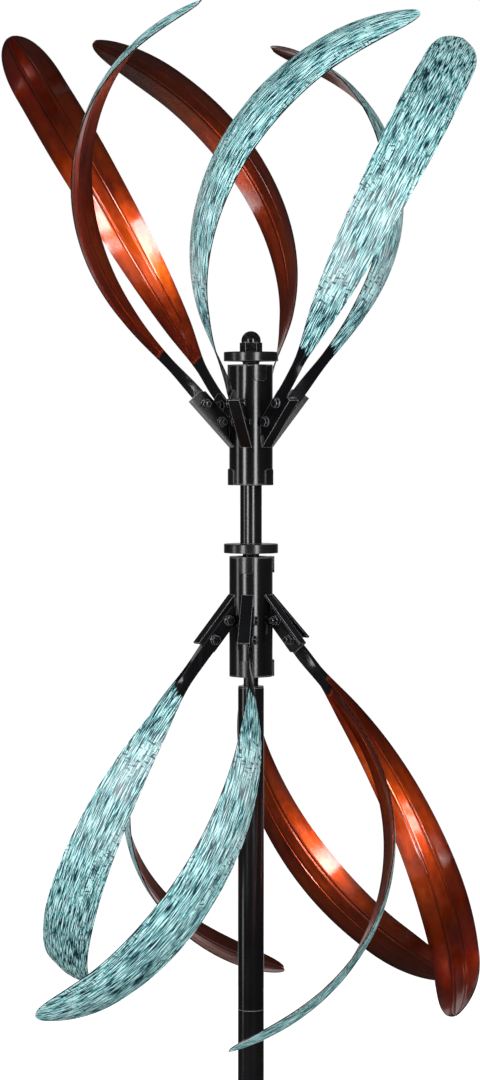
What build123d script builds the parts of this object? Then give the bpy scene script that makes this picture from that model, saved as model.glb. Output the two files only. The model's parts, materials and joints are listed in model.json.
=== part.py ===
from build123d import *
import math
import os

# Wind spinner: two six-leaf rotors that turn freely and opposite ways on one axle, on a garden pole.
# Z is up, the origin is on the pole's axis at the ground, and -Y is the front. All sizes are in millimetres.
# The lower rotor is the same design as the upper one, turned upside down.

# Pole and ground fork
POLE_RADIUS = 12.7
POLE_WALL = 1.2
POLE_BOTTOM = 12.0
POLE_JOINT = 541.0
POLE_TOP = 857.0
NECK_LENGTH = 60.0
NECK_CLEARANCE = 0.15
SPIKE_RADIUS = 6.0
SPIKE_LENGTH = 200.0
SPIKE_POINT = 30.0
SPIKE_TIP_RADIUS = 0.8
PRONG_RADIUS = 4.0
PRONG_SPREAD = 45.0
PRONG_LENGTH = 170.0
PRONG_POINT = 20.0
STEP_PLATE = (112.0, 30.0, 5.0)

# Axle and what is stacked on it
AXLE_RADIUS = 6.0
AXLE_FIT = 0.03
SLEEVE_RADIUS = 7.2
SPACER_RADIUS = 10.6
DISC_RADIUS = 26.5
DISC_HEIGHT = 9.0
DISC_TOP_WALL = 3.0
DISC_SKIRT = 2.0
DISC_BOSS_RADIUS = 7.8
PLUG_LENGTH = 45.0
DISC_BOSS_DROP = 1.2
PLUG_RIM = 1.5
SPACER_WALL = 2.0
END_WASHER = 2.0
LOCK_NUT_FLATS = 14.0
CAP_NUT_FLATS = 19.0
CAP_NUT_HEX = 9.0
CAP_NUT_HEIGHT = 20.2
CAP_DOME_RADIUS = 9.5
CAP_NUT_BORE = 14.0

# Hubs
HUB_RADIUS = 21.2
HUB_WALL = 1.5
HUB_LENGTH = 115.0
UPPER_HUB_MIDDLE = 1113.0
LOWER_HUB_MIDDLE = 926.5
HUB_GAP = 3.4

# Bearings and their snap-in carriers
RACE_OUTER = 14.0
RACE_WIDTH = 8.0
RACE_WALL = 2.9
RACE_FIT = 0.02
BALL_RADIUS = 2.38
BALL_PITCH = 10.0
BALL_COUNT = 8
GROOVE_RADIUS = 2.5
CAGE_WALL = 1.0
CAGE_HEIGHT = 6.4
POCKET_RADIUS = 2.5
CARRIER_DEPTH = 18.0
CARRIER_LIP = 1.0
CARRIER_FIT = 0.1
CARRIER_LEDGE = (1.5, 2.0)
TAB_WIDTH = 13.0
TAB_LENGTH = 15.0
TAB_PROUD = 1.7
TAB_COUNT = 3
TAB_CORNER = 3.0

# Arms: an L-shaped bracket welded to the hub, and a strap bolted flat on it
ARM_COUNT = 6
ARM_RISE = 48.5
BRACKET_THICKNESS = 2.0
BRACKET_SIDE = -4.4
FLANGE_WIDTH = 11.6
FLANGE_FACE = 30.3
WEB_INNER = 11.0
BRACKET_LENGTH = 58.0
BRACKET_FOOT = -2.5
WEB_CORNER = 4.0
ARM_PIVOT = (21.2, 0.0, -24.0)
BOLT_PLACES = (21.0, 45.0)
BOLT_LINE = 19.2
BOLT_RADIUS = 2.5
BOLT_HOLE = 2.7
BOLT_FLATS = 8.0
BOLT_HEAD = 3.4
BOLT_TAIL = 5.5
WASHER_RADIUS = 5.0
WASHER_THICKNESS = 1.0
NUT_THICKNESS = 4.0

# Leaves: flat strap, half twist, then a leaf rolled to one long curve, with two creases along it
SHEET = 1.1
STRAP_START = 8.0
STRAP_END = 63.0
STRAP_LINE = 18.6
STRAP_GAP = 0.6
LEAF_LENGTH = 491.0
LEAF_END = 0.998
CREASE_SHARE = 0.265
DISH_SHARE = 0.095
DISH_FROM = 0.05
DISH_FULL = 0.2
TIP_FROM = 0.81
# share of the leaf's length: bend and twist in degrees per 100 mm, width in mm
BEND = ((0, -32), (0.1, 4), (0.2, 29), (0.6, 26.4), (1, 23.3))
TWIST = ((0, 51), (0.08, 64), (0.2, 0), (1, 0))
WIDTH = ((0, 12.5), (0.08, 11.7), (0.2, 27.8), (0.35, 41.9), (0.5, 49.6), (0.65, 53.4), (0.81, 51))
STEPS = 500
ROLL_FROM = 0.1
ROLL_FULL = 0.2
TIP_SECTIONS = (0.84, 0.87, 0.9, 0.925, 0.945, 0.96, 0.972, 0.983, 0.992, LEAF_END)

# The arms are welded and the leaves rolled by hand. For each arm: turn and lift in degrees from its even
# place, and how tightly its leaf is rolled, as a share of the bend above
UPPER_FIRST_ARM = 15.0
UPPER_SETS = (
    (1.4, 3.8, 0.98),
    (2.6, 0.2, 0.96),
    (-5.3, -4.7, 1.0),
    (3.8, -1.5, 0.99),
    (-2.3, 0.2, 1.0),
    (-3.5, 0.3, 1.0),
)
LOWER_FIRST_ARM = 31.5
LOWER_SETS = (
    (2.1, 2.0, 1.0),
    (1.7, -0.9, 1.04),
    (-2.7, -2.4, 1.03),
    (0.4, 1.0, 0.99),
    (3.8, -1.7, 1.0),
    (-1.7, 0.6, 1.02),
)
UPPER_TABS = (294.0, 325.0)
LOWER_TABS = (282.0, 282.0)

Z_UP = (Align.CENTER, Align.CENTER, Align.MIN)


def save(node, shape):
    export_step(shape, f"parts/{node}.step")


def tube(outer, inner, bottom, top):
    ring = Cylinder(outer, top - bottom, align=Z_UP) - Cylinder(inner, top - bottom, align=Z_UP)
    return Pos(0, 0, bottom) * ring


def hexagon(flats, bottom, height):
    return Pos(0, 0, bottom) * extrude(RegularPolygon(flats / math.sqrt(3), 6), height)


def group(solids):
    return Compound(children=list(solids))


# ---- pole, fork and axle ----

def ground_fork():
    plate_x, plate_y, plate_z = STEP_PLATE
    stub_radius = POLE_RADIUS - POLE_WALL - NECK_CLEARANCE
    body = Box(plate_x, plate_y, plate_z, align=Z_UP)
    body += Cylinder(POLE_RADIUS, POLE_BOTTOM, align=Z_UP)
    body += Cylinder(stub_radius, POLE_BOTTOM + NECK_LENGTH, align=Z_UP)
    body += spike(0, SPIKE_RADIUS, SPIKE_LENGTH, SPIKE_POINT)
    for side in (-1, 1):
        body += spike(side * PRONG_SPREAD, PRONG_RADIUS, PRONG_LENGTH, PRONG_POINT)
    return body


def spike(x, radius, length, point):
    shank = Pos(x, 0, point - length) * Cylinder(radius, length - point, align=Z_UP)
    tip = Pos(x, 0, -length) * Cone(SPIKE_TIP_RADIUS, radius, point, align=Z_UP)
    return shank + tip


def lower_pole():
    inner = POLE_RADIUS - POLE_WALL
    neck_outer = inner - NECK_CLEARANCE
    neck_inner = neck_outer - POLE_WALL
    body = tube(POLE_RADIUS, inner, POLE_BOTTOM, POLE_JOINT)
    body += tube(inner + 0.2, neck_inner, POLE_JOINT - 4.0, POLE_JOINT)
    return body + tube(neck_outer, neck_inner, POLE_JOINT - 4.0, POLE_JOINT + NECK_LENGTH)


def upper_pole():
    return tube(POLE_RADIUS, POLE_RADIUS - POLE_WALL, POLE_JOINT, POLE_TOP)


def pole_top_plug():
    bore = AXLE_RADIUS + AXLE_FIT
    body = tube(POLE_RADIUS - POLE_WALL - 0.05, bore, POLE_TOP - PLUG_LENGTH, POLE_TOP)
    return body + tube(POLE_RADIUS - 0.3, bore, POLE_TOP, POLE_TOP + PLUG_RIM)


def stacked(outer, bottom, top):
    return tube(outer, AXLE_RADIUS + AXLE_FIT, bottom, top)


def lock_nut(bottom, top):
    hole = Pos(0, 0, bottom) * Cylinder(AXLE_RADIUS + AXLE_FIT, top - bottom, align=Z_UP)
    return hexagon(LOCK_NUT_FLATS, bottom, top - bottom) - hole


def rain_disc(bottom):
    """A round cover with a skirt, open below, on a boss that tapers down to the nut under it."""
    cover = Pos(0, 0, bottom) * Cylinder(DISC_RADIUS, DISC_HEIGHT, align=Z_UP)
    cover = fillet(cover.edges().group_by(Axis.Z)[-1], 1.0)
    cover -= Pos(0, 0, bottom) * Cylinder(DISC_RADIUS - DISC_SKIRT, DISC_HEIGHT - DISC_TOP_WALL, align=Z_UP)
    cover += Pos(0, 0, bottom) * Cylinder(SPACER_RADIUS, DISC_HEIGHT - 1, align=Z_UP)
    boss_bottom = Pos(0, 0, bottom - DISC_BOSS_DROP)
    cover += boss_bottom * Cone(DISC_BOSS_RADIUS, SPACER_RADIUS, DISC_BOSS_DROP, align=Z_UP)
    return cover - boss_bottom * Cylinder(AXLE_RADIUS + AXLE_FIT, 2 * DISC_HEIGHT, align=Z_UP)


def cap_nut(bottom):
    dome_middle = bottom + CAP_NUT_HEIGHT - CAP_DOME_RADIUS
    body = hexagon(CAP_NUT_FLATS, bottom, CAP_NUT_HEX)
    body += Pos(0, 0, bottom) * Cylinder(CAP_DOME_RADIUS, dome_middle - bottom, align=Z_UP)
    body += Pos(0, 0, dome_middle) * Sphere(CAP_DOME_RADIUS)
    return body - Pos(0, 0, bottom) * Cylinder(AXLE_RADIUS + AXLE_FIT, CAP_NUT_BORE, align=Z_UP)


# ---- bearings, worked out about their own middle ----

def inner_race():
    ring = tube(AXLE_RADIUS + RACE_WALL, AXLE_RADIUS + RACE_FIT, -RACE_WIDTH / 2, RACE_WIDTH / 2)
    return ring - Torus(BALL_PITCH, GROOVE_RADIUS)


def outer_race():
    ring = tube(RACE_OUTER, RACE_OUTER - RACE_WALL, -RACE_WIDTH / 2, RACE_WIDTH / 2)
    return ring - Torus(BALL_PITCH, GROOVE_RADIUS)


def ball_cage():
    half = CAGE_WALL / 2
    ring = tube(BALL_PITCH + half, BALL_PITCH - half, -CAGE_HEIGHT / 2, CAGE_HEIGHT / 2)
    for place in PolarLocations(BALL_PITCH, BALL_COUNT):
        ring -= place * Rot(0, 90, 0) * Cylinder(POCKET_RADIUS, 4 * CAGE_WALL)
    return ring


def balls():
    return [place * Sphere(BALL_RADIUS) for place in PolarLocations(BALL_PITCH, BALL_COUNT)]


def carrier(tab_angle):
    """Plastic bearing carrier for the top end of a hub tube; its lip rests on the tube's end at z = 0."""
    lip_radius = HUB_RADIUS + 0.05
    body = tube(HUB_RADIUS - HUB_WALL - CARRIER_FIT, RACE_OUTER + RACE_FIT, -CARRIER_DEPTH, 0)
    body += tube(lip_radius, RACE_OUTER + RACE_FIT, 0, CARRIER_LIP)
    ledge_reach, ledge_height = CARRIER_LEDGE
    ledge_top = -CARRIER_LIP - RACE_WIDTH
    body += tube(RACE_OUTER + 2 * CARRIER_FIT, RACE_OUTER - ledge_reach, ledge_top - ledge_height, ledge_top)
    sleeve = tube(HUB_RADIUS + TAB_PROUD, lip_radius, -TAB_LENGTH, CARRIER_LIP)
    sleeve += tube(lip_radius, HUB_RADIUS - 1, 0, CARRIER_LIP)
    for index in range(TAB_COUNT):
        window = Box(4 * TAB_PROUD, TAB_WIDTH, 2 * TAB_LENGTH + 2 * CARRIER_LIP)
        window = fillet(window.edges().filter_by(Axis.X), TAB_CORNER)
        window = Pos(HUB_RADIUS, 0, CARRIER_LIP) * window
        body += (Rot(0, 0, tab_angle + index * 360 / TAB_COUNT) * window) & sleeve
    return body


# ---- arms, in a frame with X outward, Y along the turn and Z up, from the middle of the hub ----

def arm_plane():
    """X runs out along the arm, Y outward and down across it, and Z against the turn."""
    rise = math.radians(ARM_RISE)
    along = (math.cos(rise), 0, math.sin(rise))
    return Plane(origin=(0, 0, 0), x_dir=along, z_dir=(0, -1, 0))


def across(value):
    """The arm plane's own Y points inward and up, so sizes across the arm change sign."""
    return -value


def plate(points, from_side, to_side):
    """A flat plate in the arm's plane, between two distances along the turn."""
    outline = make_face(Polyline(*points, close=True))
    base = arm_plane().offset(-from_side)
    return extrude(base * outline, from_side - to_side, dir=(0, -1, 0))


def bracket():
    web_side = BRACKET_SIDE + BRACKET_THICKNESS
    web = plate(
        [
            (BRACKET_FOOT, across(FLANGE_FACE)),
            (BRACKET_LENGTH, across(FLANGE_FACE)),
            (BRACKET_LENGTH, across(WEB_INNER + WEB_CORNER)),
            (BRACKET_LENGTH - WEB_CORNER, across(WEB_INNER)),
            (BRACKET_FOOT, across(WEB_INNER)),
        ],
        web_side,
        BRACKET_SIDE,
    )
    flange_side = BRACKET_SIDE + FLANGE_WIDTH
    flange = plate(
        [
            (BRACKET_FOOT, across(FLANGE_FACE)),
            (BRACKET_LENGTH, across(FLANGE_FACE)),
            (BRACKET_LENGTH, across(FLANGE_FACE - BRACKET_THICKNESS)),
            (BRACKET_FOOT, across(FLANGE_FACE - BRACKET_THICKNESS)),
        ],
        flange_side,
        BRACKET_SIDE,
    )
    body = web + flange
    for place in BOLT_PLACES:
        body -= bolt_rod(place, BOLT_HOLE, 2 * FLANGE_WIDTH, -2 * FLANGE_WIDTH)
    return body


def bolt_rod(place, radius, from_side, to_side):
    """A round rod through the arm, between two distances along the turn."""
    base = arm_plane().offset(-from_side)
    return extrude(base * Pos(place, across(BOLT_LINE)) * Circle(radius), from_side - to_side, dir=(0, -1, 0))


def bolt_hexagon(place, from_side, to_side):
    base = arm_plane().offset(-from_side)
    shape = base * Pos(place, across(BOLT_LINE)) * RegularPolygon(BOLT_FLATS / math.sqrt(3), 6)
    return extrude(shape, from_side - to_side, dir=(0, -1, 0))


def fastener_sides():
    """Where each layer under a screw's head and nut begins, along the turn."""
    strap_face = BRACKET_SIDE - SHEET
    head_washer = strap_face - WASHER_THICKNESS
    web_face = BRACKET_SIDE + BRACKET_THICKNESS
    nut_washer = web_face + WASHER_THICKNESS
    return strap_face, head_washer, web_face, nut_washer


def screw(place):
    strap_face, head_washer, web_face, nut_washer = fastener_sides()
    head = bolt_hexagon(place, head_washer, head_washer - BOLT_HEAD)
    return head + bolt_rod(place, BOLT_RADIUS, nut_washer + NUT_THICKNESS + BOLT_TAIL, head_washer)


def washer(place, from_side, to_side):
    return bolt_rod(place, WASHER_RADIUS, from_side, to_side) - bolt_rod(place, BOLT_HOLE, from_side, to_side)


def nut(place):
    nut_washer = fastener_sides()[3]
    outer = nut_washer + NUT_THICKNESS
    return bolt_hexagon(place, outer, nut_washer) - bolt_rod(place, BOLT_RADIUS, outer, nut_washer)


# ---- the leaf ----

def between(stations, share):
    """Straight-line value at a share of the leaf's length."""
    for (start, low), (end, high) in zip(stations, stations[1:]):
        if share <= end:
            return low + (high - low) * (share - start) / (end - start)
    return stations[-1][1]


def leaf_width(share):
    """Width on one smooth curve through the stations, closed by an elliptic tip."""
    places = [place for place, size in WIDTH]
    sizes = [size for place, size in WIDTH]
    x = min(share, TIP_FROM)
    index = max(i for i in range(len(places) - 1) if places[i] <= x)
    slopes = []
    for i in (index, index + 1):
        low = max(i - 1, 0)
        high = min(i + 1, len(places) - 1)
        slopes.append((sizes[high] - sizes[low]) / (places[high] - places[low]))
    span = places[index + 1] - places[index]
    t = (x - places[index]) / span
    ends = (2 * t**3 - 3 * t**2 + 1) * sizes[index] + (3 * t**2 - 2 * t**3) * sizes[index + 1]
    width = ends + span * ((t**3 - 2 * t**2 + t) * slopes[0] + (t**3 - t**2) * slopes[1])
    if share > TIP_FROM:
        width *= math.sqrt(1 - ((share - TIP_FROM) / (1 - TIP_FROM)) ** 2)
    return width


def turned(vector, axis, angle):
    flat = vector * math.cos(angle) + axis.cross(vector) * math.sin(angle)
    return flat + axis * axis.dot(vector) * (1 - math.cos(angle))


def eased(share, start, full):
    """0 up to start, 1 from full on, and a straight line between."""
    return min(max((share - start) / (full - start), 0), 1)


def leaf_frames(roll):
    """The leaf's centre line, with its direction and its width direction, in small steps."""
    rise = math.radians(ARM_RISE)
    ahead = Vector(math.cos(rise), 0, math.sin(rise))
    wide = Vector(math.sin(rise), 0, -math.cos(rise))
    centre = ahead * STRAP_END + wide * STRAP_LINE + Vector(0, BRACKET_SIDE - SHEET / 2, 0)
    frames = [(centre, ahead, wide)]
    step = LEAF_LENGTH / STEPS
    for index in range(STEPS):
        share = (index + 0.5) / STEPS
        tightness = 1 + (roll - 1) * eased(share, ROLL_FROM, ROLL_FULL)
        bend = math.radians(between(BEND, share) * tightness) * step / 100
        twist = math.radians(between(TWIST, share)) * step / 100
        ahead = turned(ahead, wide, -bend).normalized()
        wide = turned(wide, ahead, twist).normalized()
        wide = (wide - ahead * ahead.dot(wide)).normalized()
        centre = centre + ahead * step
        frames.append((centre, ahead, wide))
    return frames


def leaf_section(frames, share):
    centre, ahead, wide = frames[round(share * STEPS)]
    hollow = ahead.cross(wide)
    width = leaf_width(share)
    dish = DISH_SHARE * width * eased(share, DISH_FROM, DISH_FULL)
    half_band = CREASE_SHARE * width / 2
    line = ((-width / 2, dish), (-half_band, 0), (half_band, 0), (width / 2, dish))
    back = [centre + wide * y + hollow * (z - SHEET / 2) for y, z in line]
    face = [centre + wide * y + hollow * (z + SHEET / 2) for y, z in reversed(line)]
    return Face(Wire.make_polygon([*back, *face], close=True))


def leaf(roll):
    frames = leaf_frames(roll)
    shares = [index * TIP_FROM / 24 for index in range(25)] + list(TIP_SECTIONS)
    blade = loft([leaf_section(frames, share) for share in shares])
    half = WIDTH[0][1] / 2
    strap = plate(
        [
            (STRAP_START, across(STRAP_LINE + half)),
            (STRAP_END, across(STRAP_LINE + half)),
            (STRAP_END, across(STRAP_LINE - half)),
            (STRAP_START, across(STRAP_LINE - half)),
        ],
        BRACKET_SIDE,
        BRACKET_SIDE - SHEET,
    )
    for place in BOLT_PLACES:
        strap -= bolt_rod(place, BOLT_HOLE, 0, -2 * FLANGE_WIDTH)
    return strap + blade


def arm_places(first, sets):
    """One place for each arm, turned about the axle and lifted about the foot of its bracket."""
    lift_point = Pos(*ARM_PIVOT)
    places = []
    for index, (turn, lift, roll) in enumerate(sets):
        around = first + index * 360 / ARM_COUNT + turn
        places.append(Rot(0, 0, around) * lift_point * Rot(0, -lift, 0) * lift_point.inverse())
    return places


# ---- rotors ----

def rotor(name, place, first, sets, tab_angles):
    """Writes all nodes of one rotor. place puts the upright design, made about its hub's middle, where it belongs."""
    half = HUB_LENGTH / 2
    save(f"{name}_hub_tube", place * tube(HUB_RADIUS, HUB_RADIUS - HUB_WALL, -half, half))
    arms = arm_places(first, sets)
    hub_core = Cylinder(HUB_RADIUS, 2 * HUB_LENGTH)
    strap_space = Cylinder(HUB_RADIUS + STRAP_GAP, 2 * HUB_LENGTH)
    plain_bracket = bracket()
    for index, arm in enumerate(arms, start=1):
        roll = sets[index - 1][2]
        save(f"{name}_bracket_{index}", place * (arm * plain_bracket - hub_core))
        save(f"{name}_blade_{index}", place * (arm * leaf(roll) - strap_space))
    strap_face, head_washer, web_face, nut_washer = fastener_sides()
    seats = [(arm, bolt) for arm in arms for bolt in BOLT_PLACES]
    save(f"{name}_blade_screws", group(place * arm * screw(bolt) for arm, bolt in seats))
    save(f"{name}_blade_nuts", group(place * arm * nut(bolt) for arm, bolt in seats))
    rings = [place * arm * washer(bolt, strap_face, head_washer) for arm, bolt in seats]
    rings += [place * arm * washer(bolt, nut_washer, web_face) for arm, bolt in seats]
    save(f"{name}_blade_washers", group(rings))

    top_end = place * Pos(0, 0, half)
    bottom_end = place * Pos(0, 0, -half) * Rot(180, 0, 0)
    save(f"{name}_hub_outer_carrier", top_end * carrier(tab_angles[0]))
    save(f"{name}_hub_inner_carrier", bottom_end * carrier(-tab_angles[1]))
    bearings = [end * Pos(0, 0, -CARRIER_LIP - RACE_WIDTH / 2) for end in (top_end, bottom_end)]
    save(f"{name}_outer_races", group(seat * outer_race() for seat in bearings))
    save(f"{name}_inner_races", group(seat * inner_race() for seat in bearings))
    save(f"{name}_ball_cages", group(seat * ball_cage() for seat in bearings))
    save(f"{name}_bearing_balls", group(seat * ball for seat in bearings for ball in balls()))


def axle_stack():
    """Writes what stays still: the rod and all that is threaded on it, from the pole up."""
    half = HUB_LENGTH / 2
    race_reach = half - CARRIER_LIP
    spacing = race_reach - RACE_WIDTH
    lower_low = LOWER_HUB_MIDDLE - race_reach
    lower_high = LOWER_HUB_MIDDLE + race_reach
    upper_low = UPPER_HUB_MIDDLE - race_reach
    upper_high = UPPER_HUB_MIDDLE + race_reach
    save("lower_axle_sleeve", stacked(SLEEVE_RADIUS, POLE_TOP + PLUG_RIM, lower_low))
    save("lower_race_spacer", stacked(SLEEVE_RADIUS, LOWER_HUB_MIDDLE - spacing, LOWER_HUB_MIDDLE + spacing))
    save("upper_race_spacer", stacked(SLEEVE_RADIUS, UPPER_HUB_MIDDLE - spacing, UPPER_HUB_MIDDLE + spacing))

    middle_disc = LOWER_HUB_MIDDLE + half + CARRIER_LIP + HUB_GAP
    spacer_top = upper_low - END_WASHER
    save("middle_lock_nut", lock_nut(lower_high, middle_disc - DISC_BOSS_DROP))
    save("middle_rain_disc", rain_disc(middle_disc))
    save("spacer_tube", tube(SPACER_RADIUS, SPACER_RADIUS - SPACER_WALL, middle_disc + DISC_HEIGHT, spacer_top))
    save("spacer_end_washer", stacked(AXLE_RADIUS + RACE_WALL, spacer_top, upper_low))

    top_disc = UPPER_HUB_MIDDLE + half + CARRIER_LIP + HUB_GAP
    save("top_spacer_nut", lock_nut(upper_high, top_disc - DISC_BOSS_DROP))
    save("top_rain_disc", rain_disc(top_disc))
    cap_bottom = top_disc + DISC_HEIGHT
    save("cap_nut", cap_nut(cap_bottom))
    rod_bottom = POLE_TOP - PLUG_LENGTH - 4
    rod_top = cap_bottom + CAP_NUT_BORE - 1.5
    save("axle_rod", Pos(0, 0, rod_bottom) * Cylinder(AXLE_RADIUS, rod_top - rod_bottom, align=Z_UP))


def main():
    os.makedirs("parts", exist_ok=True)
    save("ground_fork", ground_fork())
    save("lower_pole", lower_pole())
    save("upper_pole", upper_pole())
    save("pole_top_plug", pole_top_plug())
    axle_stack()
    upright = Pos(0, 0, UPPER_HUB_MIDDLE)
    flipped = Pos(0, 0, LOWER_HUB_MIDDLE) * Rot(0, 180, 0)
    rotor("upper", upright, UPPER_FIRST_ARM, UPPER_SETS, UPPER_TABS)
    rotor("lower", flipped, LOWER_FIRST_ARM, LOWER_SETS, LOWER_TABS)


main()
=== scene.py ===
import json
import math

import bpy
from mathutils import Matrix, Vector


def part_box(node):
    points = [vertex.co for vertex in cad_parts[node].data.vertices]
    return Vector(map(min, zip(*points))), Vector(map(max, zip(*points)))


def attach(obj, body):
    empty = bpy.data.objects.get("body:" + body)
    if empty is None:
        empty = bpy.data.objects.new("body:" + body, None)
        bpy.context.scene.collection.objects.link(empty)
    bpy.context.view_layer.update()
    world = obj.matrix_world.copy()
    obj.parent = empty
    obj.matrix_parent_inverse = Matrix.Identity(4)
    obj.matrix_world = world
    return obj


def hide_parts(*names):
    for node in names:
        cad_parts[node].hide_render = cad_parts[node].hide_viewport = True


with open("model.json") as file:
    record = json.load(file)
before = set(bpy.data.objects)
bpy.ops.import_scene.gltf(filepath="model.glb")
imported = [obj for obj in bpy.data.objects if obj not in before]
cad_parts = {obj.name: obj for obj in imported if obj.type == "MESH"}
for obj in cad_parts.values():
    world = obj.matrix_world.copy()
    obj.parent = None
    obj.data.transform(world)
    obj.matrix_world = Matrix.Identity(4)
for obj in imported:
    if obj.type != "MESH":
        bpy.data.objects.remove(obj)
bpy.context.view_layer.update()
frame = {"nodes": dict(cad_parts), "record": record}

# Looks of a two-rotor wind spinner on a garden pole. Sizes are in metres and angles in degrees unless a
# comment says otherwise. Z is up and the front view looks along +Y.

MM = 0.001
nodes = frame["nodes"]

# Camera: level with the upper hub and looking slightly down, far enough away for a long lens
CAMERA_DISTANCE = 2.994
CAMERA_HEIGHT = 1.112
VIEW_CENTRE = (-0.0107, 1.0009)
VIEW_HEIGHT = 1.0518
SENSOR = 36.0

# Studio: strengths of the pale room as matt and as shiny surfaces see it and as the camera does, the
# strength of the floor's own light, half the floor's side, and the height that the lights point at
ROOM_LIGHT = 0.55
ROOM_REFLECTED = 0.05
ROOM_SEEN = 1.0
FLOOR_GLOW = 0.62
FLOOR_REACH = 40.0
SPINNER_MIDDLE = 1.05
WHITE = (1.0, 1.0, 1.0, 1.0)
# For each light: azimuth (0 at the camera's side, 90 on its right), distance from the pole, height above
# the ground, the light's own width and height, and its radiance
SOFT_LIGHTS = {
    "left_softbox": (-34, 2.6, 1.35, (0.55, 1.5), 12.0),
    "right_softbox": (25, 2.6, 1.45, (0.6, 1.7), 12.5),
    "side_glow": (-75, 2.6, 0.7, (0.5, 1.2), 4.0),
    "high_fill": (-4, 3.2, 2.9, (2.8, 1.8), 0.3),
    "backdrop": (180, 3.0, 1.2, (3.2, 2.6), 0.5),
}

# Hubs and arms, as the design gives them
HUB_RADIUS = 21.2 * MM
ARM_COUNT = 6
ARM_RISE = 48.5
ARM_PIVOT = Vector((21.2, 0.0, -24.0)) * MM

# Straps: the plane beside the arm that they lie on, their start and end along the arm, the distance of
# their middle line from it, and the gap that they keep from the hub
STRAP_SIDE = -4.4 * MM
STRAP_START = 8.0 * MM
STRAP_END = 63.0 * MM
STRAP_LINE = 18.6 * MM
STRAP_GAP = 0.6 * MM

# Leaves: sheet thickness, length of the curve and the share of it that the sheet follows
SHEET = 1.1 * MM
LEAF_LENGTH = 491.0 * MM
LEAF_END = 0.998
# share of the half width where the creases lie, and how deep the dish is for its width
CREASE_SHARE = 0.265
DISH_SHARE = 0.095
# shares of the length: where the dish starts and is full, and where the rounded tip starts
DISH_FROM = 0.05
DISH_FULL = 0.2
TIP_FROM = 0.81
# at shares of the length: bend and twist in degrees for each metre, and width in millimetres
BEND = ((0, -320), (0.1, 40), (0.2, 290), (0.6, 264), (1, 233))
TWIST = ((0, 510), (0.08, 640), (0.2, 0), (1, 0))
WIDTH = ((0, 12.5), (0.08, 11.7), (0.2, 27.8), (0.35, 41.9), (0.5, 49.6), (0.65, 53.4), (0.81, 51))
# steps that the curve is followed in, and shares of the length where an arm's own roll starts and is full
STEPS = 500
ROLL_FROM = 0.1
ROLL_FULL = 0.2

# Where each rotor's first arm points, and for each arm its turn and lift from its even place and how
# tightly its leaf is rolled
UPPER_FIRST_ARM = 15.0
UPPER_ARMS = (
    (1.4, 3.8, 0.98),
    (2.6, 0.2, 0.96),
    (-5.3, -4.7, 1.0),
    (3.8, -1.5, 0.99),
    (-2.3, 0.2, 1.0),
    (-3.5, 0.3, 1.0),
)
LOWER_FIRST_ARM = 31.5
LOWER_ARMS = (
    (2.1, 2.0, 1.0),
    (1.7, -0.9, 1.04),
    (-2.7, -2.4, 1.03),
    (0.4, 1.0, 0.99),
    (3.8, -1.7, 1.0),
    (-1.7, 0.6, 1.02),
)

# How finely the leaf is meshed along and across, the search step for the strap's foot on the hub, and the
# angle up to which faces look smooth
LEAF_RINGS = 170
STRAP_RINGS = 8
FACET_COLUMNS = 7
RIB_COLUMNS = 6
FOOT_STEP = 0.2 * MM
SMOOTH_UP_TO = 40
# pressed rib along each crease, whose reach is held to a share of a narrow leaf's width
RIB_HEIGHT = 0.6 * MM
RIB_REACH = 1.3 * MM
RIB_LARGEST_SHARE = 0.06
# keeps the smooth leaf just inside the plainer one of the design
WIDTH_TRIM = 0.993

# Marks on the leaf mesh that its paints read: (along, across, outward), and how far a point lies beyond
# the crease, which is given as a metre where there is no crease
LEAF_PLACE = "leaf_place"
CREASE_DISTANCE = "crease_distance"
NO_CREASE = 1.0
# order of a leaf's finishes
BACK = 0
FACE = 1
EDGE = 2

# Places along the leaf: where its colour starts and how sharply, in colour for each metre, the middle and
# reach of the painted sheen (a pale patch standing for a soft highlight), how far the dark ground shows
# more, from where the strokes get paler as painted light on the tips, and from where the lacquer is darker
# towards the tip as painted shade
PAINT_START = 46.0 * MM
PAINT_START_SHARPNESS = 260.0
SHEEN_PLACE = 165.0 * MM
SHEEN_REACH = 75.0 * MM
DARK_UP_TO = 75.0 * MM
PALE_FROM = 400.0 * MM
TIP_SHADE_FROM = 270.0 * MM
# painted shade: a dark line beside each crease
CREASE_SHADE_PLACE = 1.5 * MM
CREASE_SHADE_REACH = 0.8 * MM
# how much darker or paler the strokes get in those places, and how fast
STROKE_SHIFT = 0.022
STROKE_SHIFT_STEEPNESS = 14.0
STRAP_BLACK = (0.004, 0.004, 0.005)
# corners of black parts: how far they are rounded, and how far the normal leans before the paler corner
# shows, as wear and painted highlight
CORNER_RADIUS = 0.9 * MM
FASTENER_CORNER_RADIUS = 0.8 * MM
CORNER_SAMPLES = 4
WEAR_AND_SHINE_FROM = 0.02
WEAR_AND_SHINE_STEEPNESS = 9.0

# Sockets of a Mix node that mixes colours
MIX_FACTOR = 0
MIX_LOW = 6
MIX_HIGH = 7
MIX_RESULT = 2


# ---- shader building ----

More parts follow.
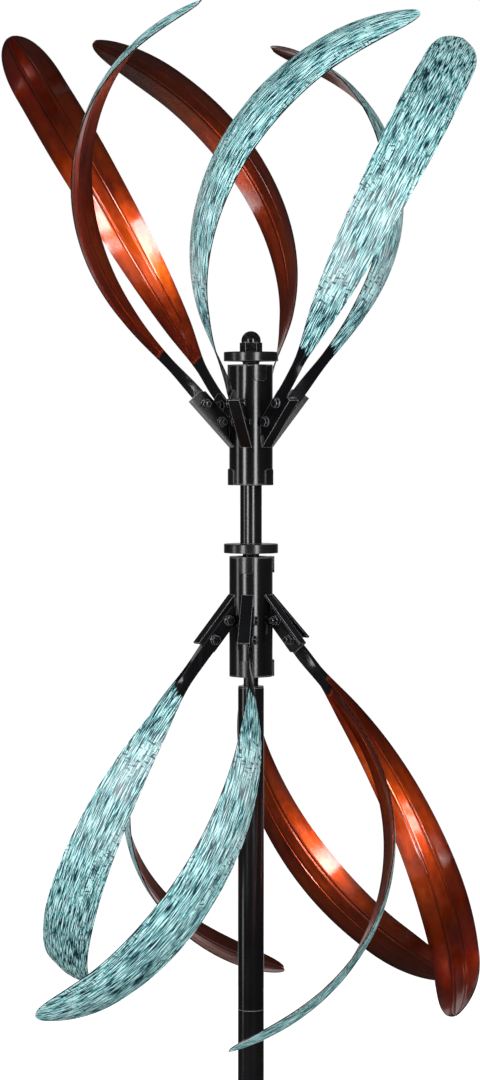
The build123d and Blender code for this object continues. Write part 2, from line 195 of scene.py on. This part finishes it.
class Shader:
    """A material's node tree, with short calls for the nodes that the finishes use."""

    def __init__(self, name):
        self.material = bpy.data.materials.new(name)
        self.material.use_nodes = True
        self.tree = self.material.node_tree
        self.surface = self.tree.nodes["Principled BSDF"]

    def node(self, kind, **settings):
        made = self.tree.nodes.new(kind)
        for key, value in settings.items():
            setattr(made, key, value)
        return made

    def feed(self, socket, value):
        """Link another node's socket to this one, or set this one's own value."""
        if isinstance(value, bpy.types.NodeSocket):
            self.tree.links.new(value, socket)
        else:
            socket.default_value = value

    def set(self, **values):
        """Feed sockets of the surface, named with underscores for spaces."""
        for key, value in values.items():
            self.feed(self.surface.inputs[key.replace("_", " ")], value)

    def math(self, operation, *values, clamp=False):
        made = self.node("ShaderNodeMath", operation=operation, use_clamp=clamp)
        for socket, value in zip(made.inputs, values):
            self.feed(socket, value)
        return made.outputs[0]

    def invert(self, value):
        return self.math("SUBTRACT", 1.0, value)

    def over(self, value, start, steepness):
        """0 below start, then rising to 1, the faster the steeper."""
        return self.math("MULTIPLY", self.math("SUBTRACT", value, start), steepness, clamp=True)

    def near(self, value, place, reach):
        """1 at a place, falling to 0 at the end of its reach on both sides."""
        away = self.math("ABSOLUTE", self.math("SUBTRACT", value, place))
        return self.invert(self.math("MULTIPLY", away, 1 / reach, clamp=True))

    def place(self, scale, attribute=None):
        """The object's own coordinates, or a named attribute, stretched by a scale for each axis."""
        if attribute:
            source = self.node("ShaderNodeAttribute", attribute_name=attribute).outputs["Vector"]
        else:
            source = self.node("ShaderNodeTexCoord").outputs["Object"]
        stretch = self.node("ShaderNodeMapping")
        self.feed(stretch.inputs["Vector"], source)
        stretch.inputs["Scale"].default_value = scale
        return stretch.outputs[0]

    def noise(self, scale, detail, roughness=0.55, attribute=None, distortion=0.0):
        """Cloudy values about a half. Scale counts the clouds in a metre along each axis."""
        made = self.node("ShaderNodeTexNoise")
        self.feed(made.inputs["Vector"], self.place(scale, attribute))
        made.inputs["Scale"].default_value = 1.0
        made.inputs["Detail"].default_value = detail
        made.inputs["Roughness"].default_value = roughness
        made.inputs["Distortion"].default_value = distortion
        return made.outputs["Fac"]

    def ramp(self, value, *stops):
        """A colour for each value, by way of stops that each hold a value and its colour or grey."""
        made = self.node("ShaderNodeValToRGB")
        self.feed(made.inputs[0], value)
        elements = made.color_ramp.elements
        while len(elements) < len(stops):
            elements.new(1.0)
        for element, (position, color) in zip(elements, stops):
            element.position = position
            element.color = (*color, 1.0) if isinstance(color, tuple) else (color, color, color, 1.0)
        return made.outputs[0]

    def mix(self, factor, low, high):
        """The low colour where the factor is 0, the high one where it is 1."""
        made = self.node("ShaderNodeMix", data_type="RGBA")
        self.feed(made.inputs[MIX_FACTOR], factor)
        self.feed(made.inputs[MIX_LOW], (*low, 1.0) if isinstance(low, tuple) else low)
        self.feed(made.inputs[MIX_HIGH], (*high, 1.0) if isinstance(high, tuple) else high)
        return made.outputs[MIX_RESULT]

    def bump(self, height, strength, distance):
        made = self.node("ShaderNodeBump")
        self.feed(made.inputs["Height"], height)
        made.inputs["Strength"].default_value = strength
        made.inputs["Distance"].default_value = distance
        self.feed(self.surface.inputs["Normal"], made.outputs[0])
        return made


# ---- paints of the leaves ----

def leaf_axes(shader):
    """Distance along the leaf from its start, and the share of the way from its middle to its rim."""
    split = shader.node("ShaderNodeSeparateXYZ")
    place = shader.node("ShaderNodeAttribute", attribute_name=LEAF_PLACE)
    shader.feed(split.inputs[0], place.outputs["Vector"])
    return split.outputs["X"], split.outputs["Z"]


def strap_mask(shader, ragged_reach):
    """1 on the black strap, 0 on the painted leaf, with a brushed boundary between."""
    along = leaf_axes(shader)[0]
    ragged = shader.noise((60, 420, 0), detail=3.0, attribute=LEAF_PLACE)
    edge = shader.math("MULTIPLY_ADD", ragged, ragged_reach, PAINT_START - ragged_reach / 2)
    return shader.invert(shader.over(along, edge, PAINT_START_SHARPNESS))


def verdigris():
    """Pale blue-green paint dragged along the leaf in short dry strokes over a dark ground."""
    shader = Shader("verdigris_paint")
    along, outward = leaf_axes(shader)
    strokes = shader.noise((48, 1200, 0), detail=2.5, roughness=0.65, attribute=LEAF_PLACE, distortion=0.15)
    broad = shader.noise((30, 420, 0), detail=2.0, roughness=0.6, attribute=LEAF_PLACE)
    clouds = shader.noise((13, 30, 0), detail=2.0, attribute=LEAF_PLACE)
    dabs = shader.noise((420, 200, 0), detail=1.0, roughness=0.5, attribute=LEAF_PLACE)

    # fine strokes with a little broad and cloudy change, darker near the strap, and paler near the tip as
    # painted light
    streak = shader.math("MULTIPLY_ADD", strokes, 0.97, shader.math("MULTIPLY", broad, 0.05))
    streak = shader.math("MULTIPLY_ADD", clouds, 0.12, streak)
    darker = shader.invert(shader.over(along, DARK_UP_TO, STROKE_SHIFT_STEEPNESS))
    streak = shader.math("MULTIPLY_ADD", darker, -STROKE_SHIFT, streak)
    # painted light: the strokes are lifted paler towards the tip, where the leaves get less light
    paler = shader.over(along, PALE_FROM, STROKE_SHIFT_STEEPNESS)
    streak = shader.math("MULTIPLY_ADD", paler, STROKE_SHIFT, streak)
    color = shader.ramp(
        streak,
        (0.54, (0.003, 0.014, 0.028)),
        (0.558, (0.015, 0.095, 0.128)),
        (0.575, (0.075, 0.41, 0.44)),
        (0.594, (0.19, 0.68, 0.70)),
        (0.628, (0.62, 0.94, 0.94)),
    )

    # painted sheen: a pale patch where a soft highlight falls, then dark dabs where the clouds are thick,
    # the more so towards the rim
    painted_sheen = shader.near(along, SHEEN_PLACE, SHEEN_REACH)
    painted_sheen = shader.math("MULTIPLY", painted_sheen, shader.over(clouds, 0.38, 3.5))
    color = shader.mix(shader.math("MULTIPLY", painted_sheen, 0.6), color, (0.56, 0.61, 0.63))
    rim = shader.over(outward, 0.55, 2.5)
    dabbed = shader.over(shader.math("MULTIPLY_ADD", rim, 0.12, clouds), 0.53, 9.0)
    dabbed = shader.math("MULTIPLY", shader.over(dabs, 0.565, 12.0), dabbed)
    color = shader.mix(shader.math("MULTIPLY", dabbed, 0.9), color, (0.006, 0.020, 0.038))

    # the strokes stand up a little and vary in gloss; the strap is smooth, black and reflects less
    strap = strap_mask(shader, 0.030)
    painted = shader.invert(strap)
    rough = shader.math("MULTIPLY", shader.math("MULTIPLY_ADD", strokes, 0.30, 0.14), painted)
    shader.set(Base_Color=shader.mix(strap, color, STRAP_BLACK))
    shader.set(Roughness=shader.math("ADD", rough, 0.10))
    shader.set(Coat_Weight=shader.math("MULTIPLY", painted, 0.3), Coat_Roughness=0.28)
    shader.set(Specular_IOR_Level=shader.math("MULTIPLY_ADD", strap, -0.2, 0.5))
    shader.bump(shader.math("MULTIPLY", streak, painted), 0.5, 0.5 * MM)
    return shader.material


def candied_copper():
    """Clear orange lacquer over copper, scorched darker in clouds, with small dark flecks, and painted
    shade towards the tip and along the rims.
    """
    shader = Shader("candied_copper")
    along, outward = leaf_axes(shader)
    smoke = shader.noise((9, 26, 0), detail=4.0, roughness=0.6, attribute=LEAF_PLACE)
    brushed = shader.noise((20, 700, 0), detail=3.0, attribute=LEAF_PLACE)
    grime = shader.noise((60, 190, 0), detail=5.0, roughness=0.7, attribute=LEAF_PLACE)
    ripple = shader.noise((30, 60, 0), detail=3.0, roughness=0.5, attribute=LEAF_PLACE)
    mottle = shader.noise((50, 95, 0), detail=4.0, roughness=0.6, attribute=LEAF_PLACE)

    # cloudy orange, with painted shade: darker towards the tip and along the rims
    color = shader.ramp(
        smoke,
        (0.34, (0.36, 0.030, 0.003)),
        (0.46, (0.62, 0.060, 0.004)),
        (0.58, (0.86, 0.095, 0.006)),
        (0.72, (0.98, 0.140, 0.010)),
    )
    # painted shade: darker towards the tip
    tip_shade = shader.over(along, TIP_SHADE_FROM, 6.0)
    color = shader.mix(shader.math("MULTIPLY", tip_shade, 0.62), color, (0.12, 0.020, 0.006))
    # painted shade: darker along the rims
    rim_shade = shader.over(shader.math("MULTIPLY_ADD", mottle, 0.5, outward), 1.0, 3.5)
    color = shader.mix(shader.math("MULTIPLY", rim_shade, 0.65), color, (0.06, 0.010, 0.004))

    # dark flecks, and painted shade: a dark line beside each crease
    flecks = shader.over(grime, 0.60, 8.0)
    color = shader.mix(shader.math("MULTIPLY", flecks, 0.7), color, (0.050, 0.010, 0.004))
    beside = shader.node("ShaderNodeAttribute", attribute_name=CREASE_DISTANCE).outputs["Fac"]
    crease_shade = shader.near(beside, CREASE_SHADE_PLACE, CREASE_SHADE_REACH)
    color = shader.mix(shader.math("MULTIPLY", crease_shade, 0.85), color, (0.020, 0.006, 0.003))

    # metal under a clear coat, duller where it is worn; the strap is plain black paint
    strap = strap_mask(shader, 0.008)
    wear_and_shine = shader.over(mottle, 0.46, 5.0)
    rough = shader.math("MULTIPLY_ADD", brushed, 0.08, shader.math("MULTIPLY_ADD", wear_and_shine, 0.07, 0.31))
    shader.set(Base_Color=shader.mix(strap, color, STRAP_BLACK))
    shader.set(Metallic=shader.math("MULTIPLY_ADD", strap, -1.0, 1.0))
    shader.set(Roughness=shader.math("MULTIPLY_ADD", strap, -0.24, rough))
    shader.set(Coat_Weight=shader.math("MULTIPLY_ADD", strap, -0.7, 1.0), Coat_IOR=1.7)
    shader.set(Coat_Roughness=shader.math("MULTIPLY_ADD", wear_and_shine, 0.10, 0.09))
    shader.bump(ripple, 0.34, 2.2 * MM)
    return shader.material


def sheet_edge():
    """Sheared edge of the leaf, where both coats of paint run thin over dark metal."""
    shader = Shader("sheet_edge")
    chips = shader.noise((300, 300, 300), detail=3.0)
    shader.set(Base_Color=shader.ramp(chips, (0.4, (0.02, 0.013, 0.010)), (0.7, (0.10, 0.05, 0.035))))
    shader.set(Metallic=0.7, Roughness=shader.math("MULTIPLY_ADD", chips, 0.2, 0.18))
    return shader.material


# ---- finishes of the other pieces ----

def round_corners(shader, height, strength, distance, radius):
    """Bump over normals that round the sharp corners a little. Gives back 1 on those corners, else 0. The
    finishes paint those corners paler, as wear and as a painted highlight.
    """
    rounded = shader.node("ShaderNodeBevel", samples=CORNER_SAMPLES)
    rounded.inputs["Radius"].default_value = radius
    bump = shader.bump(height, strength, distance)
    shader.feed(bump.inputs["Normal"], rounded.outputs[0])
    straight = shader.node("ShaderNodeNewGeometry").outputs["True Normal"]
    alike = shader.node("ShaderNodeVectorMath", operation="DOT_PRODUCT")
    shader.feed(alike.inputs[0], rounded.outputs[0])
    shader.feed(alike.inputs[1], straight)
    return shader.over(shader.invert(alike.outputs["Value"]), WEAR_AND_SHINE_FROM, WEAR_AND_SHINE_STEEPNESS)


def black_paint():
    """Gloss black powder coat with a little orange peel, cloudy gloss, and corners painted lighter as wear
    and as a painted highlight.
    """
    shader = Shader("black_powder_coat")
    peel = shader.noise((500, 500, 500), detail=2.0)
    cloud = shader.noise((30, 30, 12), detail=4.0)
    chipped = shader.noise((180, 180, 180), detail=2.0)
    wear_and_shine = round_corners(shader, peel, 0.08, 0.3 * MM, CORNER_RADIUS)
    wear_and_shine = shader.math("MULTIPLY", wear_and_shine, shader.math("MULTIPLY_ADD", chipped, 1.6, 0.1, clamp=True))
    paint = shader.ramp(cloud, (0.35, (0.0025, 0.0025, 0.003)), (0.75, (0.007, 0.007, 0.008)))
    # wear and painted highlight: corners mixed towards pale grey
    shader.set(Base_Color=shader.mix(wear_and_shine, paint, (0.40, 0.41, 0.44)))
    shader.set(Roughness=shader.math("MULTIPLY_ADD", cloud, 0.16, 0.10))
    return shader.material


def black_plastic():
    """Moulded satin plastic, finely grained, with corners painted paler as wear and as a painted highlight.
    """
    shader = Shader("black_moulded_plastic")
    grain = shader.noise((1600, 1600, 1600), detail=2.0)
    cloud = shader.noise((40, 40, 40), detail=3.0)
    wear_and_shine = round_corners(shader, grain, 0.12, 0.2 * MM, CORNER_RADIUS)
    moulding = shader.ramp(cloud, (0.3, (0.004, 0.004, 0.005)), (0.8, (0.012, 0.012, 0.013)))
    # wear and painted highlight: corners mixed towards pale grey
    shader.set(Base_Color=shader.mix(shader.math("MULTIPLY", wear_and_shine, 0.7), moulding, (0.20, 0.21, 0.22)))
    shader.set(Roughness=shader.math("MULTIPLY_ADD", cloud, 0.14, 0.14))
    return shader.material


def black_fastener():
    """Black zinc on screws and nuts, rubbed brighter in small spots, and painted brighter on the corners as
    wear and as a painted highlight.
    """
    shader = Shader("black_zinc")
    rub = shader.noise((500, 500, 500), detail=3.0)
    wear_and_shine = round_corners(shader, rub, 0.05, 0.2 * MM, FASTENER_CORNER_RADIUS)
    zinc = shader.ramp(rub, (0.45, (0.008, 0.008, 0.009)), (0.75, (0.045, 0.045, 0.048)))
    # wear and painted highlight: corners mixed towards pale grey
    shader.set(Base_Color=shader.mix(shader.math("MULTIPLY", wear_and_shine, 0.85), zinc, (0.70, 0.71, 0.73)))
    shader.set(Metallic=0.5, Roughness=shader.math("MULTIPLY_ADD", rub, 0.12, 0.04))
    return shader.material


def steel(name, dark, bright, low_roughness):
    """Turned bare steel, with fine rings round the upright axis."""
    shader = Shader(name)
    turned = shader.noise((120, 120, 3000), detail=3.0)
    shader.set(Base_Color=shader.ramp(turned, (0.3, dark), (0.7, bright)))
    shader.set(Metallic=1.0, Roughness=shader.math("MULTIPLY_ADD", turned, 0.2, low_roughness))
    return shader.material


def finish_nodes():
    """Give each node of the design the finish of its material slot."""
    finishes = {
        "black_paint": black_paint(),
        "black_plastic": black_plastic(),
        "black_fasteners": black_fastener(),
        "dark_steel": steel("oiled_steel", (0.035, 0.035, 0.037), (0.09, 0.09, 0.095), 0.24),
        "bearing_steel": steel("bearing_steel", (0.40, 0.41, 0.43), (0.62, 0.63, 0.65), 0.12),
    }
    for row in frame["record"]["subparts"]:
        slot = row["material_slot"]
        if slot in finishes:
            mesh = nodes[row["node"]].data
            mesh.materials.clear()
            mesh.materials.append(finishes[slot])


# ---- curve and section of a leaf ----

def between(stations, share):
    """Value at a share of the leaf's length, straight from station to station."""
    for (start, low), (end, high) in zip(stations, stations[1:]):
        if share <= end:
            return low + (high - low) * (share - start) / (end - start)
    return stations[-1][1]


def eased(share, start, full):
    """0 up to the start, 1 where full and beyond, straight between."""
    return min(max((share - start) / (full - start), 0), 1)


def leaf_width(share):
    """Width at a share of the leaf's length: a smooth curve through the stations, then a rounded tip."""
    places = [place for place, size in WIDTH]
    sizes = [size * MM for place, size in WIDTH]
    reached = min(share, TIP_FROM)
    index = max(i for i in range(len(places) - 1) if places[i] <= reached)
    slopes = []
    for i in (index, index + 1):
        low = max(i - 1, 0)
        high = min(i + 1, len(places) - 1)
        slopes.append((sizes[high] - sizes[low]) / (places[high] - places[low]))
    # cubic between two stations, with the mean slope of the neighbours at each
    span = places[index + 1] - places[index]
    t = (reached - places[index]) / span
    ends = (2 * t**3 - 3 * t**2 + 1) * sizes[index] + (3 * t**2 - 2 * t**3) * sizes[index + 1]
    width = ends + span * ((t**3 - 2 * t**2 + t) * slopes[0] + (t**3 - t**2) * slopes[1])
    if share > TIP_FROM:
        width *= math.sqrt(1 - ((share - TIP_FROM) / (1 - TIP_FROM)) ** 2)
    return width


def leaf_frames(roll):
    """Centre, direction ahead and direction across at even steps along a leaf, from the strap's end."""
    rise = math.radians(ARM_RISE)
    ahead = Vector((math.cos(rise), 0, math.sin(rise)))
    wide = Vector((math.sin(rise), 0, -math.cos(rise)))
    centre = ahead * STRAP_END + wide * STRAP_LINE + Vector((0, STRAP_SIDE - SHEET / 2, 0))
    frames = [(centre.copy(), ahead.copy(), wide.copy())]
    step = LEAF_LENGTH / STEPS
    for index in range(STEPS):
        share = (index + 0.5) / STEPS
        tightness = 1 + (roll - 1) * eased(share, ROLL_FROM, ROLL_FULL)
        bend = math.radians(between(BEND, share) * tightness) * step
        twist = math.radians(between(TWIST, share)) * step
        ahead = (Matrix.Rotation(-bend, 3, wide) @ ahead).normalized()
        wide = Matrix.Rotation(twist, 3, ahead) @ wide
        wide = (wide - ahead * ahead.dot(wide)).normalized()
        centre = centre + ahead * step
        frames.append((centre.copy(), ahead.copy(), wide.copy()))
    return frames


def frame_at(frames, share):
    """The same three at any share of the leaf's length."""
    place = share * STEPS
    index = min(int(place), STEPS - 1)
    pairs = zip(frames[index], frames[index + 1])
    centre, ahead, wide = [low.lerp(high, place - index) for low, high in pairs]
    return centre, ahead.normalized(), wide.normalized()


def rib_reach(width):
    return min(RIB_REACH, width * RIB_LARGEST_SHARE)


def column_places(width):
    """Distances across the leaf: evenly over the three facets, with extra points over each crease rib."""
    crease = CREASE_SHARE * width / 2
    reach = rib_reach(width)
    half = width / 2
    places = []
    for low, high in ((-half, -crease - reach), (-crease + reach, crease - reach), (crease + reach, half)):
        if places:
            start = places[-1]
            places += [start + (low - start) * i / RIB_COLUMNS for i in range(1, RIB_COLUMNS)]
        places += [low + (high - low) * i / FACET_COLUMNS for i in range(FACET_COLUMNS + 1)]
    return places


def section_height(across, width, depth):
    """How far the sheet's middle stands towards its hollow side. Depth is the share of the full dish."""
    crease = CREASE_SHARE * width / 2
    dish = DISH_SHARE * width * depth * max(0.0, (abs(across) - crease) / (width / 2 - crease))
    off = abs(abs(across) - crease) / rib_reach(width)
    rib = RIB_HEIGHT * depth * (0.5 + 0.5 * math.cos(math.pi * off)) if off < 1 else 0.0
    return dish + rib


# ---- leaf meshes ----
# A ring is a line of points across the sheet: for each one its back and face, and its marks
# (along, across, outward, beyond the crease).

def ring_point(middle, hollow, *marks):
    return middle - hollow * SHEET / 2, middle + hollow * SHEET / 2, marks


def strap_foot(root, place, across):
    """How far back along the strap its foot is, below 0, so that it keeps its gap from the hub."""
    centre, ahead, wide = root
    run = STRAP_START - STRAP_END
    while run < 0:
        point = place @ (centre + ahead * run + wide * across)
        if math.hypot(point.x, point.y) >= HUB_RADIUS + STRAP_GAP:
            break
        run += FOOT_STEP
    return run


def strap_rings(root, place):
    """Rings of the flat strap, from its foot almost to the leaf's start."""
    centre, ahead, wide = root
    hollow = ahead.cross(wide)
    columns = column_places(leaf_width(0))
    feet = [strap_foot(root, place, across) for across in columns]
    rings = []
    for index in range(STRAP_RINGS):
        ring = []
        for across, foot in zip(columns, feet):
            run = foot * (1 - index / STRAP_RINGS)
            middle = centre + ahead * run + wide * across
            ring.append(ring_point(middle, hollow, run, across, 0.0, NO_CREASE))
        rings.append(ring)
    return rings


def blade_rings(frames):
    """Rings of the leaf from its start to its tip, closer together towards the tip."""
    rings = []
    for index in range(LEAF_RINGS + 1):
        share = LEAF_END * math.sin(math.pi / 2 * index / LEAF_RINGS)
        centre, ahead, wide = frame_at(frames, share)
        hollow = ahead.cross(wide)
        width = leaf_width(share) * WIDTH_TRIM
        depth = eased(share, DISH_FROM, DISH_FULL)
        ring = []
        for across in column_places(width):
            middle = centre + wide * across + hollow * section_height(across, width, depth)
            outward = 2 * abs(across) / width
            beyond = abs(across) - CREASE_SHARE * width / 2 + NO_CREASE * (1 - depth)
            ring.append(ring_point(middle, hollow, share * LEAF_LENGTH, across, outward, beyond))
        rings.append(ring)
    return rings


def sheet_faces(rings, columns):
    """Faces of a closed sheet and their finishes. Its points go ring by ring, a back and a face in turn."""
    stride = 2 * columns
    faces = []
    finishes = []
    for ring in range(rings - 1):
        left = ring * stride
        right = left + stride - 2
        for here in range(left, right, 2):
            beside = here + 2
            ahead = here + stride
            across = beside + stride
            faces += [(here, beside, across, ahead), (here + 1, ahead + 1, across + 1, beside + 1)]
            finishes += [BACK, FACE]
        rim = EDGE if ring >= STRAP_RINGS else BACK
        faces += [(left, left + stride, left + stride + 1, left + 1)]
        faces += [(right, right + 1, right + stride + 1, right + stride)]
        finishes += [rim, rim]
    last = (rings - 1) * stride
    for foot in range(0, stride - 2, 2):
        tip = last + foot
        faces += [(foot, foot + 1, foot + 3, foot + 2), (tip, tip + 2, tip + 3, tip + 1)]
        finishes += [BACK, EDGE]
    return faces, finishes


def leaf_piece(name, place, roll, finishes):
    """One leaf with its strap, meshed as a closed sheet: verdigris back, copper face."""
    frames = leaf_frames(roll)
    rings = strap_rings(frames[0], place) + blade_rings(frames)
    points = []
    places = []
    distances = []
    for ring in rings:
        for back, face, (along, across, outward, beyond) in ring:
            points += [place @ back, place @ face]
            places += [along, across, outward] * 2
            distances += [beyond] * 2
    faces, face_finishes = sheet_faces(len(rings), len(rings[0]))
    mesh = bpy.data.meshes.new(name)
    mesh.from_pydata(points, [], faces)
    mesh.validate()
    mesh.attributes.new(LEAF_PLACE, "FLOAT_VECTOR", "POINT").data.foreach_set("vector", places)
    mesh.attributes.new(CREASE_DISTANCE, "FLOAT", "POINT").data.foreach_set("value", distances)
    for finish in finishes:
        mesh.materials.append(finish)
    mesh.polygons.foreach_set("material_index", face_finishes)
    mesh.shade_smooth()
    mesh.set_sharp_from_angle(angle=math.radians(SMOOTH_UP_TO))
    piece = bpy.data.objects.new(name, mesh)
    bpy.context.scene.collection.objects.link(piece)
    return piece


def arm_place(index, first, turn, lift):
    """Where an arm of a rotor stands, from an arm that points along +X at the hub's middle height."""
    around = math.radians(first + (index - 1) * 360 / ARM_COUNT + turn)
    lifted = Matrix.Translation(ARM_PIVOT) @ Matrix.Rotation(math.radians(-lift), 4, "Y")
    return Matrix.Rotation(around, 4, "Z") @ lifted @ Matrix.Translation(-ARM_PIVOT)


def leaves(name, first, arms, upside_down, finishes):
    """The leaves of one rotor, in place of its plainer blades."""
    low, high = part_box(f"{name}_hub_tube")
    middle = (low + high) / 2
    base = Matrix.Translation((0, 0, middle.z))
    if upside_down:
        base = base @ Matrix.Rotation(math.pi, 4, "Y")
    for index, (turn, lift, roll) in enumerate(arms, start=1):
        piece = leaf_piece(f"{name}_leaf_{index}", arm_place(index, first, turn, lift), roll, finishes)
        piece.data.transform(base)
        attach(piece, f"{name}_rotor")
        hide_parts(f"{name}_blade_{index}")


# ---- studio ----

def look_at(thing, target):
    thing.rotation_euler = (Vector(target) - thing.location).to_track_quat("-Z", "Y").to_euler()


def add_camera():
    data = bpy.data.cameras.new("camera")
    data.sensor_fit = "AUTO"
    data.sensor_width = SENSOR
    data.lens = SENSOR * CAMERA_DISTANCE / VIEW_HEIGHT
    camera = bpy.data.objects.new("camera", data)
    camera.location = (0, -CAMERA_DISTANCE, CAMERA_HEIGHT)
    look_at(camera, (VIEW_CENTRE[0], 0, VIEW_CENTRE[1]))
    bpy.context.scene.collection.objects.link(camera)
    bpy.context.scene.camera = camera


def softbox(name, azimuth, distance, height, size, radiance):
    """A soft light that faces the spinner and that the camera doesn't see."""
    around = math.radians(azimuth)
    width, tall = size
    data = bpy.data.lights.new(name, "AREA")
    data.shape = "RECTANGLE"
    data.size = width
    data.size_y = tall
    data.energy = radiance * math.pi * width * tall
    lamp = bpy.data.objects.new(name, data)
    lamp.location = (distance * math.sin(around), -distance * math.cos(around), height)
    look_at(lamp, (0, 0, SPINNER_MIDDLE))
    lamp.visible_camera = False
    bpy.context.scene.collection.objects.link(lamp)


def add_room():
    """White to the camera, dim in reflections, and a soft even light on matt surfaces."""
    world = bpy.data.worlds.new("studio")
    world.use_nodes = True
    tree = world.node_tree
    background = tree.nodes["Background"]
    background.inputs["Color"].default_value = WHITE
    seen = tree.nodes.new("ShaderNodeBackground")
    seen.inputs["Color"].default_value = WHITE
    seen.inputs["Strength"].default_value = ROOM_SEEN
    path = tree.nodes.new("ShaderNodeLightPath")
    strength = tree.nodes.new("ShaderNodeMapRange")
    strength.inputs["To Min"].default_value = ROOM_REFLECTED
    strength.inputs["To Max"].default_value = ROOM_LIGHT
    tree.links.new(path.outputs["Is Diffuse Ray"], strength.inputs["Value"])
    tree.links.new(strength.outputs["Result"], background.inputs["Strength"])
    choose = tree.nodes.new("ShaderNodeMixShader")
    tree.links.new(path.outputs["Is Camera Ray"], choose.inputs[0])
    tree.links.new(background.outputs[0], choose.inputs[1])
    tree.links.new(seen.outputs[0], choose.inputs[2])
    tree.links.new(choose.outputs[0], tree.nodes["World Output"].inputs["Surface"])
    bpy.context.scene.world = world
    bpy.context.scene.view_settings.view_transform = "Standard"


def floor_paint():
    """Plain pale floor, with enough light of its own to show white to the camera."""
    shader = Shader("pale_floor")
    tone = shader.noise((0.4, 0.4, 0.4), detail=2.0)
    shader.set(Base_Color=shader.ramp(tone, (0.3, 0.80), (0.7, 0.84)), Roughness=0.9)
    shader.set(Emission_Color=WHITE, Emission_Strength=FLOOR_GLOW)
    return shader.material


def add_floor():
    """A floor that the camera sees, but that neither lights the spinner nor shows in it."""
    mesh = bpy.data.meshes.new("floor")
    signs = ((-1, -1), (1, -1), (1, 1), (-1, 1))
    mesh.from_pydata([(FLOOR_REACH * x, FLOOR_REACH * y, 0) for x, y in signs], [], [(0, 1, 2, 3)])
    mesh.materials.append(floor_paint())
    floor = bpy.data.objects.new("floor", mesh)
    floor.visible_glossy = False
    floor.visible_diffuse = False
    bpy.context.scene.collection.objects.link(floor)


finish_nodes()
leaf_finishes = [verdigris(), candied_copper(), sheet_edge()]
leaves("upper", UPPER_FIRST_ARM, UPPER_ARMS, False, leaf_finishes)
leaves("lower", LOWER_FIRST_ARM, LOWER_ARMS, True, leaf_finishes)
for light, setting in SOFT_LIGHTS.items():
    softbox(light, *setting)
add_room()
add_floor()
add_camera()
